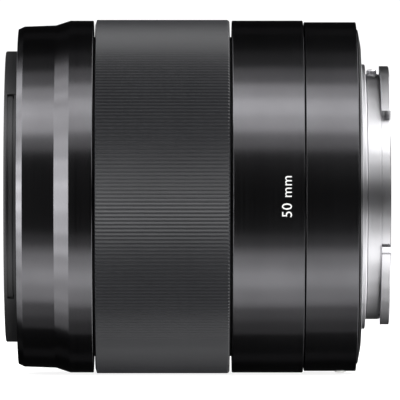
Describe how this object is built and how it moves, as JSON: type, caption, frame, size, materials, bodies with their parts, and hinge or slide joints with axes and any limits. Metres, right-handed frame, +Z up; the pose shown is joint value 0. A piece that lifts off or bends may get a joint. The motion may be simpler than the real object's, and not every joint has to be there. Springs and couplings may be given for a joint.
{
  "type": "prime camera lens",
  "caption": "Compact standard prime lens: black barrel with a ribbed focus ring, bright bayonet mount, iris, sliding focus group and stabiliser inside.",
  "frame": {"origin": "centre of the bayonet flange's seat plane, on the optical axis", "axes": "+Y along the optical axis towards the camera, +Z up, with the mount's index bead at -Z; the front glass faces -Y"},
  "size_m": [0.062, 0.067, 0.062],
  "materials": {
    "black_anodised": "black anodised, satin",
    "ribbed_anodised": "dark grey anodised, fine axial ribs",
    "black_plastic": "moulded, matt",
    "bright_mount": "turned and plated, satin bright",
    "steel": "machined",
    "gold_contact": "gold plated",
    "copper_winding": "lacquered copper wire",
    "magnet": "nickel plated magnet",
    "white_paint": "white paint",
    "circuit_board": "green board",
    "optical_glass": "multi-coated, polished"
  },
  "bodies": {
    "barrel": {"filter_ring": "black_anodised", "front_barrel": "black_anodised", "main_tube": "black_anodised", "rear_barrel_front_sleeve": "black_anodised", "rear_barrel_rear_sleeve": "black_anodised", "rear_frame": "black_anodised", "front_lens_cell": "black_anodised", "front_trim_ring": "black_plastic", "ring_sensor": "black_plastic", "rear_cover_ring": "black_plastic", "rear_light_baffle": "black_plastic", "contact_block": "black_plastic", "rear_group_cell": "black_plastic", "rear_lens_cell": "black_plastic", "iris_base_plate": "black_plastic", "iris_cover_plate": "black_plastic", "focus_unit_plate": "black_plastic", "stabiliser_base": "black_plastic", "bayonet_mount": "bright_mount", "bayonet_stop_screw": "steel", "iris_motor": "steel", "guide_rod_upper": "steel", "guide_rod_lower": "steel", "focus_motor_yoke": "steel", "mount_screw_1": "steel", "mount_screw_2": "steel", "mount_screw_3": "steel", "mount_screw_4": "steel", "contact_strip": "gold_contact", "focus_motor_magnet": "magnet", "stabiliser_magnet_x": "magnet", "stabiliser_magnet_z": "magnet", "mount_index_bead": "white_paint", "main_circuit_board": "circuit_board", "lens_element_1": "optical_glass", "lens_element_2": "optical_glass", "lens_element_3": "optical_glass", "lens_element_4": "optical_glass", "lens_element_5": "optical_glass", "lens_element_6": "optical_glass", "lens_element_9": "optical_glass"},
    "focus_ring": {"focus_ring": "ribbed_anodised", "encoder_ring": "black_plastic"},
    "focus_group": {"focus_cell": "black_plastic", "focus_coil": "copper_winding", "lens_element_7": "optical_glass"},
    "iris_drive": {"iris_drive_ring": "black_plastic"},
    "iris_pinion": {"iris_pinion": "steel"},
    "iris_blade_1": {"iris_blade_1": "black_plastic"},
    "iris_blade_2": {"iris_blade_2": "black_plastic"},
    "iris_blade_3": {"iris_blade_3": "black_plastic"},
    "iris_blade_4": {"iris_blade_4": "black_plastic"},
    "iris_blade_5": {"iris_blade_5": "black_plastic"},
    "iris_blade_6": {"iris_blade_6": "black_plastic"},
    "iris_blade_7": {"iris_blade_7": "black_plastic"},
    "stabiliser_shaft": {"stabiliser_guide_shaft": "steel"},
    "stabiliser_cell": {"stabiliser_cell": "black_plastic", "lens_element_8": "optical_glass", "stabiliser_coil_x": "copper_winding", "stabiliser_coil_z": "copper_winding"}
  },
  "joints": [
    {"name": "focus_ring_turn", "type": "hinge", "parent": "barrel", "child": "focus_ring", "pos_m": [0, -0.0346, 0], "axis": [0, -1, 0], "continuous": true},
    {"name": "focus_travel", "type": "slide", "parent": "barrel", "child": "focus_group", "axis": [0, 1, 0], "range_m": [0, 0.0055]},
    {"name": "iris_drive_turn", "type": "hinge", "parent": "barrel", "child": "iris_drive", "pos_m": [0, -0.0373, 0], "axis": [0, 1, 0], "range_deg": [0, 24]},
    {"name": "iris_blade_1_swing", "type": "hinge", "parent": "barrel", "child": "iris_blade_1", "pos_m": [0.0184, -0.0388, 0], "axis": [0, -1, 0], "range_deg": [0, 30]},
    {"name": "iris_blade_2_swing", "type": "hinge", "parent": "barrel", "child": "iris_blade_2", "pos_m": [0.01147, -0.0388, 0.01439], "axis": [0, -1, 0], "range_deg": [0, 30]},
    {"name": "iris_blade_3_swing", "type": "hinge", "parent": "barrel", "child": "iris_blade_3", "pos_m": [-0.00409, -0.0388, 0.01794], "axis": [0, -1, 0], "range_deg": [0, 30]},
    {"name": "iris_blade_4_swing", "type": "hinge", "parent": "barrel", "child": "iris_blade_4", "pos_m": [-0.01658, -0.0388, 0.00798], "axis": [0, -1, 0], "range_deg": [0, 30]},
    {"name": "iris_blade_5_swing", "type": "hinge", "parent": "barrel", "child": "iris_blade_5", "pos_m": [-0.01658, -0.0388, -0.00798], "axis": [0, -1, 0], "range_deg": [0, 30]},
    {"name": "iris_blade_6_swing", "type": "hinge", "parent": "barrel", "child": "iris_blade_6", "pos_m": [-0.00409, -0.0388, -0.01794], "axis": [0, -1, 0], "range_deg": [0, 30]},
    {"name": "iris_blade_7_swing", "type": "hinge", "parent": "barrel", "child": "iris_blade_7", "pos_m": [0.01147, -0.0388, -0.01439], "axis": [0, -1, 0], "range_deg": [0, 30]},
    {"name": "iris_pinion_spin", "type": "hinge", "parent": "barrel", "child": "iris_pinion", "pos_m": [0.01584, -0.0373, 0.01584], "axis": [0, -1, 0], "range_deg": [0, 244.8]},
    {"name": "stabiliser_shift_x", "type": "slide", "parent": "barrel", "child": "stabiliser_shaft", "axis": [1, 0, 0], "range_m": [-0.0004, 0.0004]},
    {"name": "stabiliser_shift_z", "type": "slide", "parent": "stabiliser_shaft", "child": "stabiliser_cell", "axis": [0, 0, 1], "range_m": [-0.0004, 0.0004]}
  ],
  "couplings": [
    {"joint": "iris_blade_1_swing", "follows": "iris_drive_turn", "ratio": 1.25},
    {"joint": "iris_blade_2_swing", "follows": "iris_drive_turn", "ratio": 1.25},
    {"joint": "iris_blade_3_swing", "follows": "iris_drive_turn", "ratio": 1.25},
    {"joint": "iris_blade_4_swing", "follows": "iris_drive_turn", "ratio": 1.25},
    {"joint": "iris_blade_5_swing", "follows": "iris_drive_turn", "ratio": 1.25},
    {"joint": "iris_blade_6_swing", "follows": "iris_drive_turn", "ratio": 1.25},
    {"joint": "iris_blade_7_swing", "follows": "iris_drive_turn", "ratio": 1.25},
    {"joint": "iris_pinion_spin", "follows": "iris_drive_turn", "ratio": 10.2}
  ]
}
